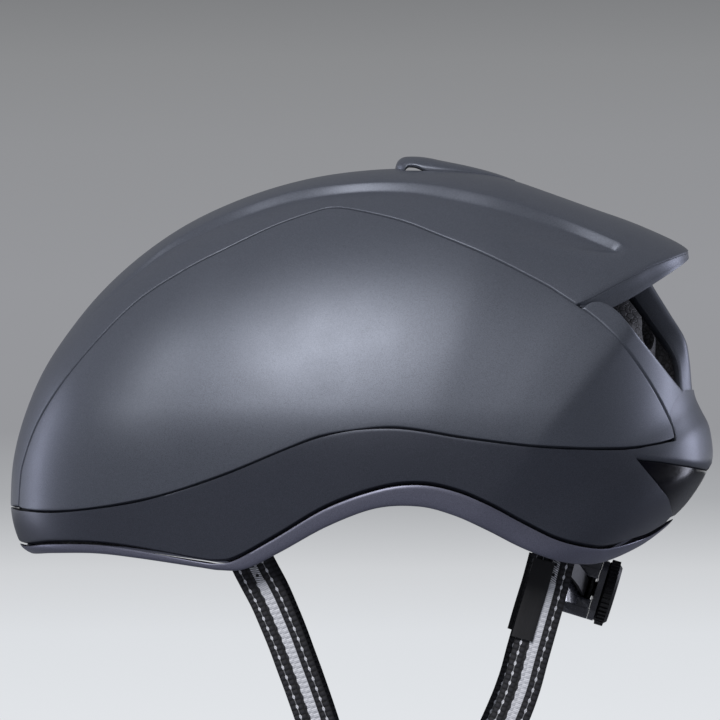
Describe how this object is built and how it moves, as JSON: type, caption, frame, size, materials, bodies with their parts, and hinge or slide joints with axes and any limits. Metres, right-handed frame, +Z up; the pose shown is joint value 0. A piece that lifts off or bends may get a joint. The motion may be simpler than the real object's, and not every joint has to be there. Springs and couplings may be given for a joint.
{
  "type": "aero helmet",
  "caption": "Aero road cycling helmet with a closed crown, short tail with exhaust ports, foam liner, turning fit dial with cradle, webbing harness and a side-release buckle.",
  "frame": {"origin": "top of the rider's head where it meets the crown pads, in the middle plane", "axes": "+X towards the tail, +Y towards the rider's right side, +Z up; the nose points to -X"},
  "size_m": [0.2807, 0.1902, 0.3596],
  "materials": {
    "graphite_shell": "satin moulded polycarbonate with a fine metallic flake",
    "dark_shell": "satin moulded polycarbonate, dark grey",
    "gloss_black": "gloss black plastic",
    "black_foam": "moulded bead foam, black",
    "pad_fabric": "knitted cover over soft foam",
    "moulded_black": "fine textured nylon",
    "dial_black": "soft ribbed elastomer over a nylon core",
    "steel": "plain stainless steel",
    "webbing": "ribbed polyester webbing with a pale reflective stripe",
    "keeper_rubber": "moulded rubber"
  },
  "bodies": {
    "helmet": {"crown_shell": "graphite_shell", "crown_vent_hood": "graphite_shell", "side_panel_left": "graphite_shell", "side_panel_right": "graphite_shell", "lower_shell": "dark_shell", "rear_insert": "gloss_black", "lower_rim": "dark_shell", "eps_liner": "black_foam", "brow_pad": "pad_fabric", "crown_pad": "pad_fabric", "rear_crown_pad": "pad_fabric", "side_pad_left": "pad_fabric", "side_pad_right": "pad_fabric", "temple_anchor_left": "moulded_black", "temple_anchor_right": "moulded_black", "height_clip": "moulded_black", "strap_anchors": "moulded_black", "front_strap_left": "webbing", "front_strap_right": "webbing", "rear_strap_left": "webbing", "rear_strap_right": "webbing", "strap_patch_left": "webbing", "strap_patch_right": "webbing", "divider_left": "moulded_black", "divider_right": "moulded_black", "chin_strap_left": "webbing", "chin_strap_right": "webbing", "buckle_socket": "moulded_black", "strap_keeper": "keeper_rubber"},
    "ring": {"temple_pin_left": "steel", "temple_pin_right": "steel", "fit_belt_left": "moulded_black", "fit_belt_right": "moulded_black", "height_strip": "moulded_black"},
    "cradle": {"cradle": "moulded_black", "housing_cover": "moulded_black", "nape_pad_left": "pad_fabric", "nape_pad_right": "pad_fabric"},
    "dial": {"dial": "dial_black", "pinion": "moulded_black", "dial_screw": "steel"},
    "tongue": {"buckle_tongue": "moulded_black"},
    "lever_left": {"divider_lever_left": "moulded_black"},
    "lever_right": {"divider_lever_right": "moulded_black"}
  },
  "joints": [
    {"name": "height_adjust", "type": "hinge", "parent": "helmet", "child": "ring", "pos_m": [-0.06, 0, -0.09], "axis": [0, 1, 0], "range_deg": [-2, 4]},
    {"name": "fit_slide", "type": "slide", "parent": "ring", "child": "cradle", "axis": [-1, 0, 0], "range_m": [0, 0.015], "deforming": ["fit_belt_left", "fit_belt_right", "height_strip"]},
    {"name": "dial_turn", "type": "hinge", "parent": "cradle", "child": "dial", "pos_m": [0.0992, 0, -0.1332], "axis": [0.9563, 0, -0.2924], "range_deg": [-172, 0]},
    {"name": "buckle_release", "type": "slide", "parent": "helmet", "child": "tongue", "axis": [0, 1, 0], "range_m": [0, 0.02], "deforming": ["chin_strap_right"]},
    {"name": "lever_left_open", "type": "hinge", "parent": "helmet", "child": "lever_left", "pos_m": [0.0095, -0.0756, -0.257], "axis": [1, 0, 0], "range_deg": [-95, 0]},
    {"name": "lever_right_open", "type": "hinge", "parent": "helmet", "child": "lever_right", "pos_m": [0.0095, 0.0756, -0.257], "axis": [1, 0, 0], "range_deg": [0, 95]}
  ],
  "couplings": [
    {"joint": "dial_turn", "follows": "fit_slide", "rad_per_m": -200}
  ]
}
